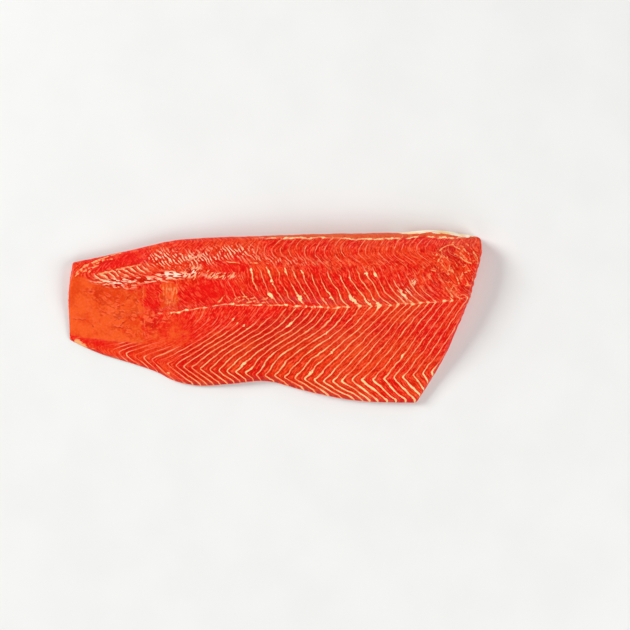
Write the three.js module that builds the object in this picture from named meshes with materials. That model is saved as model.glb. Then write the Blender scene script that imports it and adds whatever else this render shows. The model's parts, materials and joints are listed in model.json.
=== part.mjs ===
// A side of raw salmon, lying skin down: one solid with a thick loin along the back,
// a thin belly flap, a shallow seam where the backbone was, and two knife-cut ends.
// Millimetres, +Z up. +X runs from the tail to the head end and +Y from belly to back.
// The origin is at the middle of the footprint, on the surface that the fillet lies on.
import * as THREE from "three";

// Overall size of the side, tail cut to head cut and belly edge to back edge.
const LENGTH = 328;
const WIDTH = 138;

// Thickness of the loin at its crown, at the tail cut, at its fullest and at the head cut.
const TAIL_THICKNESS = 10;
const LOIN_THICKNESS = 25;
const HEAD_THICKNESS = 22;
const LOIN_FULL_FROM = 0.66; // share of the length where the loin is at its fullest
const LOIN_FULL_TO = 0.82;

// The section across the fillet, as shares of its width and of the loin's thickness.
const LOIN_CROWN = 0.8; // where across the width the loin crowns, from the belly edge
const BELLY_EDGE_SHARE = 0.3; // thickness left at the belly edge
const BACK_EDGE_SHARE = 0.62; // thickness left at the back edge

// The seam left by the backbone: a shallow groove that follows the middle of the side.
const SEAM_DEPTH = 1.3;
const SEAM_HALF_WIDTH = 0.03; // share of the width
const SEAM_DEEP_FROM = 0.4; // share of the length where the groove reaches its depth
const SEAM_AT_TAIL = 0.34; // share of the width, from the belly edge
const SEAM_AT_MIDDLE = 0.54;
const SEAM_AT_HEAD = 0.62;
const SEAM_LEVEL_FROM = 0.45; // shares of the length between which the seam keeps its place
const SEAM_LEVEL_TO = 0.6;

// The belly wall is hollowed where the ribs were cut away, deepest below the thick end.
const RIB_HOLLOW_DEPTH = 1.8;
const RIB_HOLLOW_ALONG = 0.72;
const RIB_HOLLOW_ACROSS = 0.3;
const RIB_HOLLOW_LENGTH = 0.2;
const RIB_HOLLOW_WIDTH = 0.13;

// The flap's edge sags in slow waves between the places where it lies flat.
const FLAP_WAVE_HEIGHT = 0.7;
const FLAP_WAVES = 4.5;

// The rim: how far the flesh face stops short of the outline, the height at which the
// side bulges out to the outline, and how far the skin tucks in where it lies down.
const FACE_MARGIN_ENDS = 0.004; // share of the length, at the knife cuts
const FACE_MARGIN_SIDES = 0.028; // share of the width, along belly and back
const BULGE_HEIGHT_SHARE = 0.42;
const TUCK_SHARE = 0.55; // share of the face's margin

// The fineness of the surface.
const STEPS_ALONG = 96;
const STEPS_ACROSS = 40;

// The outline's four sides as [share of the length from the tail, share of the width from the belly].
const BELLY_EDGE = [
  [0.001, 0.367], [0.027, 0.336], [0.081, 0.281], [0.153, 0.229], [0.213, 0.18], [0.25, 0.134],
  [0.293, 0.107], [0.333, 0.101], [0.4, 0.113], [0.479, 0.129], [0.561, 0.078], [0.681, 0.019],
  [0.774, 0.004], [0.842, 0.003],
];
const BACK_EDGE = [
  [0.009, 0.815], [0.134, 0.878], [0.268, 0.945], [0.393, 0.962],
  [0.633, 0.979], [0.789, 0.986], [0.89, 1], [0.989, 0.966],
];
const TAIL_CUT = [[0.001, 0.367], [0, 0.595], [0.004, 0.732], [0.009, 0.815]];
const HEAD_CUT = [
  [0.842, 0.003], [0.899, 0.219], [0.94, 0.43], [0.976, 0.664], [1, 0.897], [0.989, 0.966],
];

const FLESH = { color: 0xe6402a, roughness: 0.35, metalness: 0 };

const { lerp, smoothstep } = THREE.MathUtils;

// A bell of height 1 that falls away on both sides of its middle.
function bell(distance, halfWidth) {
  return Math.exp(-((distance / halfWidth) ** 2));
}

// One side of the outline as a smooth curve in millimetres, walked from end to end.
function outlineSide(shares) {
  const points = shares.map(([along, across]) => {
    return new THREE.Vector2((along - 0.5) * LENGTH, (across - 0.5) * WIDTH);
  });
  return new THREE.SplineCurve(points);
}

const belly = outlineSide(BELLY_EDGE);
const back = outlineSide(BACK_EDGE);
const tail = outlineSide(TAIL_CUT);
const head = outlineSide(HEAD_CUT);

// The place in plan at shares (along, across) of the fillet: the surface that blends
// the four sides of the outline into each other.
function planPoint(along, across) {
  const [low, high] = [belly.getPointAt(along), back.getPointAt(along)];
  const [left, right] = [tail.getPointAt(across), head.getPointAt(across)];
  const between = low.lerp(high, across).add(left.lerp(right, along));
  const corners = tail.getPointAt(0).lerp(head.getPointAt(0), along);
  corners.lerp(tail.getPointAt(1).lerp(head.getPointAt(1), along), across);
  return between.sub(corners);
}

// Thickness of the loin's crown along the fillet.
function crownThickness(along) {
  const filling = smoothstep(along, 0, LOIN_FULL_FROM);
  const easing = smoothstep(along, LOIN_FULL_TO, 1);
  return lerp(TAIL_THICKNESS, LOIN_THICKNESS, filling) - (LOIN_THICKNESS - HEAD_THICKNESS) * easing;
}

// Where the backbone's seam runs across the fillet.
function seamAcross(along) {
  const towardsMiddle = smoothstep(along, 0, SEAM_LEVEL_FROM);
  const towardsHead = smoothstep(along, SEAM_LEVEL_TO, 1);
  return (
    SEAM_AT_TAIL +
    (SEAM_AT_MIDDLE - SEAM_AT_TAIL) * towardsMiddle +
    (SEAM_AT_HEAD - SEAM_AT_MIDDLE) * towardsHead
  );
}

// Share of the crown's thickness across the fillet, from the belly edge to the back.
function sectionShare(across) {
  const rise = lerp(BELLY_EDGE_SHARE, 1, smoothstep(across, 0, LOIN_CROWN));
  const pastCrown = Math.max(0, across - LOIN_CROWN) / (1 - LOIN_CROWN);
  return rise - (1 - BACK_EDGE_SHARE) * pastCrown ** 2;
}

// Height of the flesh face above the base.
function faceHeight(along, across) {
  const body = crownThickness(along) * sectionShare(across);
  const seamDepth = SEAM_DEPTH * smoothstep(along, 0, SEAM_DEEP_FROM);
  const seam = seamDepth * bell(across - seamAcross(along), SEAM_HALF_WIDTH);
  const hollow =
    RIB_HOLLOW_DEPTH *
    bell(along - RIB_HOLLOW_ALONG, RIB_HOLLOW_LENGTH) *
    bell(across - RIB_HOLLOW_ACROSS, RIB_HOLLOW_WIDTH);
  const wave = FLAP_WAVE_HEIGHT * Math.sin(2 * Math.PI * FLAP_WAVES * along) * (1 - across) ** 3;
  return body - seam - hollow + wave;
}

// The closed surface: a grid over the flesh face, a rim that bulges out to the outline
// and tucks in under it, and a flat base.
function filletGeometry() {
  const corners = [];
  const triangles = [];

  const addCorner = (plan, height) => corners.push(plan.x, plan.y, height) / 3 - 1;
  const addQuad = (a, b, c, d) => triangles.push(a, b, c, a, c, d);

  // The flesh face, from its own margin inside the outline.
  const faceShare = (step, steps, margin) => margin + (1 - 2 * margin) * (step / steps);
  const face = [];
  for (let i = 0; i <= STEPS_ALONG; i++) {
    const along = faceShare(i, STEPS_ALONG, FACE_MARGIN_ENDS);
    face.push([]);
    for (let j = 0; j <= STEPS_ACROSS; j++) {
      const across = faceShare(j, STEPS_ACROSS, FACE_MARGIN_SIDES);
      const corner = addCorner(planPoint(along, across), faceHeight(along, across));
      face[i].push({ along, across, corner });
    }
  }
  for (let i = 0; i < STEPS_ALONG; i++) {
    for (let j = 0; j < STEPS_ACROSS; j++) {
      const [near, far] = [face[i], face[i + 1]];
      addQuad(near[j].corner, far[j].corner, far[j + 1].corner, near[j + 1].corner);
    }
  }

  // The face's border, walked anticlockwise as seen from above.
  const border = [
    ...face.slice(0, -1).map((row) => row[0]),
    ...face[STEPS_ALONG].slice(0, -1),
    ...face.slice(1).reverse().map((row) => row[STEPS_ACROSS]),
    ...face[0].slice(1).reverse(),
  ];

  // A ring of corners outside the border: reach 0 is the border and 1 is the outline.
  const ring = (reach, heightShare) =>
    border.map(({ along, across }) => {
      const grow = (share, margin) => {
        return 0.5 + ((share - 0.5) * (0.5 - margin * (1 - reach))) / (0.5 - margin);
      };
      const plan = planPoint(grow(along, FACE_MARGIN_ENDS), grow(across, FACE_MARGIN_SIDES));
      return addCorner(plan, faceHeight(along, across) * heightShare);
    });
  const rings = [border.map(({ corner }) => corner), ring(1, BULGE_HEIGHT_SHARE), ring(TUCK_SHARE, 0)];
  for (let k = 0; k + 1 < rings.length; k++) {
    rings[k].forEach((corner, n) => {
      const next = (n + 1) % border.length;
      addQuad(corner, rings[k + 1][n], rings[k + 1][next], rings[k][next]);
    });
  }

  // The flat base, facing down.
  const base = rings[rings.length - 1];
  const basePlan = base.map((n) => new THREE.Vector2(corners[3 * n], corners[3 * n + 1]));
  for (const [a, b, c] of THREE.ShapeUtils.triangulateShape(basePlan, [])) {
    triangles.push(base[c], base[b], base[a]);
  }

  const geometry = new THREE.BufferGeometry();
  geometry.setAttribute("position", new THREE.Float32BufferAttribute(corners, 3));
  geometry.setIndex(triangles);
  geometry.computeBoundingBox();
  const middle = geometry.boundingBox.getCenter(new THREE.Vector3());
  geometry.translate(-middle.x, -middle.y, -geometry.boundingBox.min.z);
  geometry.computeVertexNormals();
  return geometry;
}

const fillet = new THREE.Mesh(filletGeometry(), new THREE.MeshStandardMaterial(FLESH));
fillet.name = "fillet";

const part = new THREE.Group();
part.add(fillet);

export default part;
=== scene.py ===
import json
import math

import bpy
import numpy as np
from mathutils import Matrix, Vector, kdtree, noise

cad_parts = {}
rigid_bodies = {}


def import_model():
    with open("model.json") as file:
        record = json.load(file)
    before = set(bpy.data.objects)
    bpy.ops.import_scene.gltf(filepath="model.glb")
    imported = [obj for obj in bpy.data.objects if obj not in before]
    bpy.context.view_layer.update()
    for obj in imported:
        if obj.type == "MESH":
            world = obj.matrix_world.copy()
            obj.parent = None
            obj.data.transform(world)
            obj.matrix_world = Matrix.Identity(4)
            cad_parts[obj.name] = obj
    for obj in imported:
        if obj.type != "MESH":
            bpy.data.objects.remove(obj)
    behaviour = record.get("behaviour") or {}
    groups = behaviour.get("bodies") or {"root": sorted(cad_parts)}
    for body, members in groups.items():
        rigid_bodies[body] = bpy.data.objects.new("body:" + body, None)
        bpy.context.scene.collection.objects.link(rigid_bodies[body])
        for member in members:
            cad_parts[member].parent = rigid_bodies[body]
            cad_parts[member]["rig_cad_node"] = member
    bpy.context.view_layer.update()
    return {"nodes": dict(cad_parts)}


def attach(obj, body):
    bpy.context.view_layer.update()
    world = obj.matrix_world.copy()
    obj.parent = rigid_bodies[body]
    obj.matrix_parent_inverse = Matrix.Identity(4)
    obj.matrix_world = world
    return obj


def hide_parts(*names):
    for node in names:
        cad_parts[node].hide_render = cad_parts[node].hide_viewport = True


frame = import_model()

# The body of the fillet
# One side of a raw salmon, cut from the backbone and trimmed, lying on its skin: soft muscle, thick along
# the back and thin at the belly, with the tail and the head end cut by a knife. It is the solid of the
# frame, rounded off by subdivision into a mesh that is fine enough to carry the relief of the flesh.
MM = 0.001
MERGE_DISTANCE = 0.01 * MM
QUAD_ANGLE = math.radians(60)
STEEP_EDGE = 0.3  # rise over length of the edges that run down the cut sides
SMOOTHING_LEVELS = 2


def select_only(piece):
    bpy.ops.object.select_all(action="DESELECT")
    piece.select_set(True)
    bpy.context.view_layer.objects.active = piece


def pick_edges(mesh, wanted):
    """Leaves only the edges selected whose two ends pass the test."""
    bpy.ops.mesh.select_mode(type="EDGE")
    bpy.ops.mesh.select_all(action="DESELECT")
    bpy.ops.object.mode_set(mode="OBJECT")
    for edge in mesh.edges:
        ends = [mesh.vertices[index].co for index in edge.vertices]
        edge.select = wanted(*ends)
    bpy.ops.object.mode_set(mode="EDIT")


def runs_down_a_side(a, b):
    return abs(a.z - b.z) > STEEP_EDGE * (a - b).length


def lies_on_the_base(a, b):
    return max(a.z, b.z) < MERGE_DISTANCE


select_only(frame["nodes"]["fillet"])
bpy.ops.object.duplicate()
fillet = bpy.context.object
fillet.name = "salmon_fillet"
del fillet["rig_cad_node"]
fillet.data.materials.clear()

bpy.ops.object.mode_set(mode="EDIT")
bpy.ops.mesh.select_all(action="SELECT")
bpy.ops.mesh.remove_doubles(threshold=MERGE_DISTANCE)
bpy.ops.mesh.tris_convert_to_quads(face_threshold=QUAD_ANGLE, shape_threshold=QUAD_ANGLE)
pick_edges(fillet.data, runs_down_a_side)
bpy.ops.mesh.subdivide(number_cuts=1)
pick_edges(fillet.data, lies_on_the_base)
bpy.ops.transform.edge_crease(value=1)
bpy.ops.object.mode_set(mode="OBJECT")

bpy.ops.object.modifier_add(type="SUBSURF")
smoothing = fillet.modifiers[-1]
smoothing.levels = SMOOTHING_LEVELS
smoothing.render_levels = SMOOTHING_LEVELS
bpy.ops.object.modifier_apply(modifier=smoothing.name)
bpy.ops.object.shade_smooth()

# The muscle blocks of the flesh
# The flesh is a stack of cone-shaped muscle blocks, parted by thin pale sheets of connective tissue. On the
# cut face the sheets show as W-shaped lines, which bend at the seam of the backbone and again in belly and
# back. All places are in millimetres in the fillet's frame: x from tail to head, y from belly to back.

# The seam, the two bends and the back edge, as y over x.
SEAM = (
    (-163, -1), (-137, -2.6), (-118, -0.6), (-88, 2.1), (-60, 6.5), (-43, 9.2), (-27, 9.6),
    (12, 8.4), (44, 7.2), (75, 8.4), (99, 9.6), (130, 12), (158, 15.9),
)
BELLY_BEND = (
    (-164, -15), (-124, -28.6), (-104, -32.5), (-86, -37.4), (-59, -41.3), (-31, -43.6), (-9, -46.4),
    (0, -46.7), (8, -48.1), (23, -49.5), (38, -50.9), (50, -51.1), (64, -49.9), (79, -49.9), (94, -48.4),
    (110, -46), (125, -43.4), (138, -40),
)
BACK_BEND = (
    (-156, 32), (-130, 38), (-98, 45.4), (-59, 51.3), (-19, 53.7), (52, 54.1), (130, 54.9), (162, 58),
)
BACK_EDGE = (
    (-161, 43.8), (-120, 52.1), (-76, 61.4), (-35, 63.8), (44, 66.1), (95, 67.1), (128, 69), (160, 64.3),
)

# The number of each sheet by the place of its bend in the belly, counted from the first clear one.
SHEET_COUNT = (
    (-164, -5.8), (-124, 0.38), (-91.4, 5.19), (-59.1, 10.15), (-22.9, 15.16), (16.1, 20.13), (53.4, 25.1),
    (94, 30.06), (124, 34), (162, 38.5),
)

# How far a sheet sweeps towards the head on its way from the belly bend up to the seam, and how it curves.
BELLY_SWEEP = (
    (-164, 56), (-124, 57.5), (-59, 63), (-38, 63), (-15, 59.5), (16, 60.6), (38, 60), (53, 56), (94, 46),
    (124, 40),
)
BELLY_BOW = (
    (-124, 0.1), (-91, 0.08), (-59, 0.035), (-38, 0.01), (-15, -0.015), (16, -0.02), (38, 0), (94, 0.03),
)
BELLY_SWING = ((-124, -0.06), (-59, -0.05), (-38, -0.05), (-15, -0.06), (16, -0.04), (38, 0), (94, 0.01))

# How far it leans out just above the belly bend, and how far it sweeps for each mm below that bend.
BELLY_TIP = ((-124, 0), (-59, 0.5), (-38, 1.3), (-15, 2.5), (16, 1), (38, 0.5), (94, 0.3))
TIP_REACH = 5
FLAP_SWEEP = ((-124, 1.7), (-31, 1.75), (5, 2.1), (53, 1.4), (94, 0.85), (124, 0.7))

# How far it sweeps from the seam to the back bend, what share of that by the share of the rise, and how far
# it sweeps for each mm above that bend.
LOIN_SWEEP = ((-130, 44), (-98, 36), (-60, 29), (20, 28), (75, 35), (130, 36))
LOIN_PROFILE = ((0, 0), (0.2, 0.25), (0.45, 0.46), (0.74, 0.69), (0.86, 0.9), (1, 1))
RIM_SWEEP = 1.1

# How round the bends are.
BELLY_SOFTNESS = ((-164, 1.2), (-124, 1), (-91, 0.6), (-59, 0.55), (-23, 0.5), (40, 0.45), (124, 0.4))
BACK_SOFTNESS = 2.2

# How finely the sheets are worked out.
SETTLING_ROUNDS = 12
BEND_RANGE = (-260, 260)
BENDS_TRIED = 1041
GRADIENT_STEP = 0.05
TINY = 1e-6

# How the sheets go on into the cut sides, and how they wave in the loin.
FACE_UPRIGHT = 0.8  # upward share of the normal, above which a point lies on the cut face
SIDE_TURN = (FACE_UPRIGHT, 0.4)  # upward shares between which the face turns into a side
SIDE_LEAN = 0.12  # sheets for each mm of depth
LOIN_WAVES = (13, 0.28)  # their length in mm, and their height in sheets
LOIN_WAVES_FROM = (1, 9)  # mm above the seam


def curve(knots, x):
    """A smooth curve through a few points, straight beyond its ends."""
    xs, ys = np.array(knots, float).T
    slopes = np.gradient(ys, xs)
    left = np.clip(np.searchsorted(xs, x) - 1, 0, len(xs) - 2)
    span = xs[left + 1] - xs[left]
    t = np.clip((x - xs[left]) / span, 0, 1)
    from_left = (1 + 2 * t) * ys[left] + t * span * slopes[left]
    from_right = (3 - 2 * t) * ys[left + 1] + (t - 1) * span * slopes[left + 1]
    beyond = np.minimum(x - xs[0], 0) * slopes[0] + np.maximum(x - xs[-1], 0) * slopes[-1]
    return (1 - t) ** 2 * from_left + t**2 * from_right + beyond


def fade(start, end, value):
    """Rises smoothly from 0 at start to 1 at end; start may be the higher of the two."""
    t = np.clip((value - start) / (end - start), 0, 1)
    return t * t * (3 - 2 * t)


def between(ends, value):
    """One between two soft ends, and zero beyond them."""
    rising, falling = ends
    return fade(*rising, value) * fade(*falling, value)


def bell(distance, reach):
    """One at no distance, falling away to both sides over this reach."""
    return np.exp(-((distance / reach) ** 2))


def rounded_rise(value, softness):
    """Zero below zero and rising with the value above it, round a soft corner."""
    return softness * np.logaddexp(0, value / softness)


def height_between(low, high, y):
    return (y - low) / (high - low)


def belly_sheets(x, y):
    """The running number of the muscle sheets below the seam."""
    bend = curve(BELLY_BEND, x)
    softness = curve(BELLY_SOFTNESS, x)
    above_bend = rounded_rise(y - bend, softness)
    rise = np.minimum(above_bend / (curve(SEAM, x) - bend), 1)
    leaning = above_bend / TIP_REACH * np.exp(1 - above_bend / TIP_REACH)
    below_bend = rounded_rise(bend - y, softness)
    bend_x = x
    for _ in range(SETTLING_ROUNDS):
        bow = curve(BELLY_BOW, bend_x) * np.sin(math.pi * rise)
        swing = curve(BELLY_SWING, bend_x) * np.sin(2 * math.pi * rise)
        sweep = curve(BELLY_SWEEP, bend_x) * (rise + bow + swing) + curve(BELLY_TIP, bend_x) * leaning
        bend_x = x - sweep - curve(FLAP_SWEEP, bend_x) * below_bend
    return curve(SHEET_COUNT, bend_x)


def loin_sheets(x, y):
    """The running number of the muscle sheets above the seam, where they go on from the belly's."""
    bend = curve(BACK_BEND, x)
    rise = 1 - rounded_rise(bend - y, BACK_SOFTNESS) / (bend - curve(SEAM, x))
    above_bend = rounded_rise(y - bend, BACK_SOFTNESS)
    seam_x = x + curve(LOIN_SWEEP, x) * curve(LOIN_PROFILE, rise) - RIM_SWEEP * above_bend
    bends = np.linspace(*BEND_RANGE, BENDS_TRIED)
    bend_x = np.interp(seam_x, bends + curve(BELLY_SWEEP, bends), bends)
    return curve(SHEET_COUNT, bend_x)


def sheet_number(x, y):
    return np.where(y < curve(SEAM, x), belly_sheets(x, y), loin_sheets(x, y))


def patches(places, x, y):
    """Soft oval patches, each given as its middle, its two half widths, its tilt and its strength."""
    total = np.zeros_like(x)
    for middle_x, middle_y, half_length, half_width, tilt, strength in places:
        turn = math.radians(tilt)
        along = (x - middle_x) * math.cos(turn) + (y - middle_y) * math.sin(turn)
        across = (y - middle_y) * math.cos(turn) - (x - middle_x) * math.sin(turn)
        total += strength * bell(along, half_length) * bell(across, half_width)
    return total


def read_points(mesh, what):
    values = np.empty(len(mesh.vertices) * 3)
    mesh.vertices.foreach_get(what, values)
    return values.reshape(-1, 3)


def swells(length, height):
    """Smooth uneven swells over all points."""
    return np.array([height * noise.noise(Vector(point) / length) for point in points])


def depth_below_the_face(points, normals):
    """How far each point of the sides lies below the cut face, at the place nearest to it in plan."""
    on_face = np.flatnonzero(normals[:, 2] > FACE_UPRIGHT)
    face = kdtree.KDTree(len(on_face))
    for index in on_face:
        face.insert((*points[index, :2], 0), index)
    face.balance()
    depth = np.zeros(len(points))
    for index in np.flatnonzero(normals[:, 2] <= FACE_UPRIGHT):
        nearest = face.find((*points[index, :2], 0))[1]
        depth[index] = max(points[nearest, 2] - points[index, 2], 0)
    return depth


points = read_points(fillet.data, "co") / MM
normals = read_points(fillet.data, "normal")
x, y, z = points.T
upright = normals[:, 2]

seam = y - curve(SEAM, x)
belly_rise = height_between(curve(BELLY_BEND, x), curve(SEAM, x), y)
loin_rise = height_between(curve(SEAM, x), curve(BACK_BEND, x), y)
from_back = curve(BACK_EDGE, x) - y

sheets = sheet_number(x, y)
slope_x = (sheet_number(x + GRADIENT_STEP, y) - sheets) / GRADIENT_STEP
slope_y = (sheet_number(x, y + GRADIENT_STEP) - sheets) / GRADIENT_STEP
outward_x, outward_y = normals[:, :2].T / np.maximum(np.hypot(normals[:, 0], normals[:, 1]), TINY)
slope_round_the_side = slope_y * outward_x - slope_x * outward_y
side = fade(*SIDE_TURN, upright)
face_slope = np.hypot(slope_x, slope_y)
pitch = 1 / (face_slope + side * (np.hypot(slope_round_the_side, SIDE_LEAN) - face_slope))
sheets += SIDE_LEAN * depth_below_the_face(points, normals)
sheets += fade(*LOIN_WAVES_FROM, seam) * swells(*LOIN_WAVES)

# How clearly the sheets show in the belly, from 0 to 1. A film of membrane hides them over the tail. A pair
# is the two places between which a change comes about, along the fillet or up from bend to bend.
BELLY_SHOWN_UP_TO = ((-124, 0.42), (-75, 0.4), (-60, 0.46), (-45, 0.58), (-20, 0.7), (0, 0.84), (25, 1.2))
BELLY_SHOWN_EDGE = (0.14, -0.14)
CLEAR_BELLY = 0.68
CLEAR_BELLY_FROM = (-136, -118)
FAINT_BELLY = 0.32
FAINT_BELLY_FROM = (-80, -55)
BELLY_DIMMED = ((0.1, (40, 80), (0.05, 0.3)), (0.25, (105, 135), (0.15, 0.45)))  # by how much, where

belly_shown = CLEAR_BELLY * fade(*BELLY_SHOWN_EDGE, belly_rise - curve(BELLY_SHOWN_UP_TO, x))
belly_shown *= fade(*CLEAR_BELLY_FROM, x)
belly_shown += FAINT_BELLY * fade(*FAINT_BELLY_FROM, x)
for amount, along, up in BELLY_DIMMED:
    belly_shown *= 1 - amount * fade(*along, x) * fade(*up, belly_rise)

# The same in the loin, where they show best low down and grow dim towards the head.
LOWER_LOIN = ((0.62, (-48, -18), (0.76, 0.5)), (0.25, (30, 60), (0.6, 0.35)), (-0.2, (75, 95), (0.4, 0.6)))
UPPER_LOIN = ((0.44, (-50, -5), (0.66, 0.8)), (-0.12, (60, 90), (0.66, 0.8)))
FAINT_LOIN = 0.16
FAINT_LOIN_FROM = (-110, -60)
HEAD_LOIN_DIMMED = 0.6
HEAD_LOIN_FROM = (112, 128)
MIDDLE_LOIN_DIMMED = 0.4
MIDDLE_LOIN_FROM = (78, 98)
MIDDLE_LOIN_RISE = ((0.15, 0.45), (0.85, 0.65))
LOIN_UNEVENNESS = (8, 0.6)
LOIN_UNEVEN_RANGE = (0.75, 1.3)


def regions(places, rise):
    """Soft regions added up, each given as its strength, and where it begins along the fillet and up it."""
    return sum(strength * fade(*along, x) * fade(*up, rise) for strength, along, up in places)


loin_shown = FAINT_LOIN * fade(*FAINT_LOIN_FROM, x)
loin_shown += np.maximum(regions(LOWER_LOIN, loin_rise), 0) + regions(UPPER_LOIN, loin_rise)
loin_shown *= 1 - HEAD_LOIN_DIMMED * fade(*HEAD_LOIN_FROM, x)
loin_shown *= 1 - MIDDLE_LOIN_DIMMED * fade(*MIDDLE_LOIN_FROM, x) * between(MIDDLE_LOIN_RISE, loin_rise)
loin_shown *= np.clip(1 + swells(*LOIN_UNEVENNESS), *LOIN_UNEVEN_RANGE)

# The same by the seam, where they show only towards the head, and on the cut sides.
HEAD_SEAM_SHOWN = 0.85
HEAD_SEAM_REACH = 2.8
HEAD_SEAM_FROM = (55, 80)
TAIL_SEAM_HIDDEN = 0.85
TAIL_SEAM_REACH = 2
TAIL_SEAM_UP_TO = (62, 45)
SIDE_HIDDEN = 0.6
SIDE_HIDDEN_FROM = (0.45, 0.1)  # upward shares of the normal
TAIL_CUT_SHOWN = 0.6
TAIL_CUT_FROM = (-152, -160)

by_the_seam = HEAD_SEAM_SHOWN * bell(seam, HEAD_SEAM_REACH) * fade(*HEAD_SEAM_FROM, x)
at_the_tail_cut = TAIL_CUT_SHOWN * side * fade(*TAIL_CUT_FROM, x)
shown = np.maximum(np.where(seam < 0, belly_shown, loin_shown), by_the_seam)
shown *= 1 - TAIL_SEAM_HIDDEN * bell(seam, TAIL_SEAM_REACH) * fade(*TAIL_SEAM_UP_TO, x)
shown *= 1 - SIDE_HIDDEN * fade(*SIDE_HIDDEN_FROM, upright)
shown = np.maximum(shown, at_the_tail_cut)

# Half the thickness of the pale lines. They are thickest in the belly flap, and thinner where they lie close
# together and on the cut sides.
BELLY_HALF_LINE = 0.38
HEAD_BELLY_THINNED = 0.15
HEAD_BELLY_FROM = (30, 90)
FLAP_THICKENED = 0.4
FLAP_FROM = (0, 60)
FLAP_RISE = (0.15, -0.1)
UPPER_BELLY_THINNED = 0.35  # as a share
UPPER_BELLY_UP_TO = (70, 40)
UPPER_BELLY_RISE = (0.55, 0.95)
LOIN_HALF_LINE = 0.22
HEAD_LOIN_THICKENED = 0.06
THICK_LOIN_FROM = (30, 60)
UPPER_LOIN_THINNED = 0.06
UPPER_LOIN_RISE = (0.55, 0.75)
FULL_PITCH = 6
CROWDED_RANGE = (0.5, 1)
SIDE_THINNED = 0.5

belly_half = BELLY_HALF_LINE - HEAD_BELLY_THINNED * fade(*HEAD_BELLY_FROM, x)
belly_half += FLAP_THICKENED * fade(*FLAP_FROM, x) * fade(*FLAP_RISE, belly_rise)
belly_half *= 1 - UPPER_BELLY_THINNED * fade(*UPPER_BELLY_UP_TO, x) * fade(*UPPER_BELLY_RISE, belly_rise)
loin_half = LOIN_HALF_LINE + HEAD_LOIN_THICKENED * fade(*THICK_LOIN_FROM, x)
loin_half -= UPPER_LOIN_THINNED * fade(*UPPER_LOIN_RISE, loin_rise)
crowding = np.clip(pitch / FULL_PITCH, *CROWDED_RANGE)
half_line = np.where(seam < 0, belly_half, loin_half) * crowding * (1 - SIDE_THINNED * side)

# At the seam near the head, and here and there in loin and belly, the lines swell into beads of fat. Each
# bead is given by its place, its length and its half thickness.
LOIN_BEADS = (
    (-17.8, 36, 2, 0.8), (-5.6, 35.6, 3.5, 0.9), (-1.7, 27.7, 3.1, 0.9), (-3.6, 16.3, 2.6, 1.5),
    (7, 35.6, 2.8, 0.9), (20.4, 33.6, 2.4, 1.1), (20.8, 15.1, 3.6, 1.2), (41.2, 14.7, 3.6, 1.2),
    (60.9, 13.9, 3.6, 1.4), (55, 30.5, 1.6, 1), (70.8, 33.2, 1.8, 1.3), (78.6, 32, 2, 0.7),
    (74.3, 12.4, 3, 1.3), (81, 8.8, 2, 1.4), (102, 17, 4, 0.9),
)
BELLY_BEADS = (
    (-23.3, -38, 4, 0.7), (44.8, -28.6, 1.8, 0.7), (28.6, -44.3, 1.8, 0.7), (11.3, -6.9, 5, 0.5),
    (-24.1, -7.3, 1.4, 0.5), (-31, -3.4, 1.4, 0.45), (42, -14.4, 1.6, 0.7), (101, -31.7, 1.6, 0.7),
)
LOIN_BEAD_TILT = -58
BELLY_BEAD_TILT = 42
BEAD_REACH = 3.2  # how far to the side the nearest line is thickened
BEAD_SHOWN = (0.2, 0.5)
SEAM_SWELLING = 0.25

swelling = SEAM_SWELLING * by_the_seam
for beads, tilt in ((LOIN_BEADS, LOIN_BEAD_TILT), (BELLY_BEADS, BELLY_BEAD_TILT)):
    for bead_x, bead_y, length, half_thickness in beads:
        bead = patches(((bead_x, bead_y, length, BEAD_REACH, tilt, 1),), x, y)
        swelling += half_thickness * bead
        shown = np.maximum(shown, fade(*BEAD_SHOWN, bead))

# The seam of the backbone shows as a pale dashed line, and near the back a sheet of fascia as another.
SEAM_SHOWN = (
    (-110, 0), (-102, 0.3), (-92, 0.6), (-84, 0.85), (-45, 1), (50, 0.95), (75, 0.8), (110, 0.8), (150, 0.8),
)
FASCIA_DEPTH = (
    (-40, 2.5), (-4, 3.5), (40, 4), (60, 5.2), (85, 6), (112, 6), (131, 7), (142, 5.6), (150, 4),
)
FASCIA_ENDS = ((-20, 0), (152, 140))
FASCIA_GAP = ((38, 44), (58, 50))
FASCIA_GAP_FADED = 0.8

seam_shown = np.clip(curve(SEAM_SHOWN, x), 0, 1)
fascia = from_back - curve(FASCIA_DEPTH, x)
fascia_shown = between(FASCIA_ENDS, x) * (1 - FASCIA_GAP_FADED * between(FASCIA_GAP, x))

# Past the fascia lies a strip of orange flesh, and towards the head a rim of fat. Scraps hang on the flap.
STRIP_FROM = (-30, 10)
STRIP_EDGE = (0.3, -0.9)
RIM_FAT = ((94, 0), (104, 1.6), (124, 2.8), (145, 3.4), (156, 2), (162, 0))  # its width over x
RIM_FAT_FOOT = 5.5  # height of its lower edge
RIM_FAT_FOOT_SOFTNESS = 2
FLAP_SCRAPS = ((-153.5, -23, 7, 2.6, -24, 1.3), (-84.7, -44.5, 2.6, 1.1, -25, 1.2))

side_strip = fade(*STRIP_FROM, x) * fade(*STRIP_EDGE, fascia)
rim_fat = np.minimum(curve(RIM_FAT, x) - from_back, (z - RIM_FAT_FOOT) / RIM_FAT_FOOT_SOFTNESS)
flap_scrap = patches(FLAP_SCRAPS, x, y)

# On the loin of the tail the cut has left a row of short slanting strokes, hung from a pale streak.
HATCH_PITCH = 3.45
HATCH_TILT = math.radians(36)
HATCH_TOP = ((-144.4, 33.6), (-123, 37.9), (-101.7, 42))
HATCH_ENDS = ((-148, -141), (-95, -104))
HATCH_DEPTH = ((-0.8, 0.6), (10, 5))


def stroke_number(pitch, tilt):
    """The running number of parallel strokes, so far apart and at this tilt."""
    return (x * math.sin(tilt) + y * math.cos(tilt)) / pitch


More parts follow.
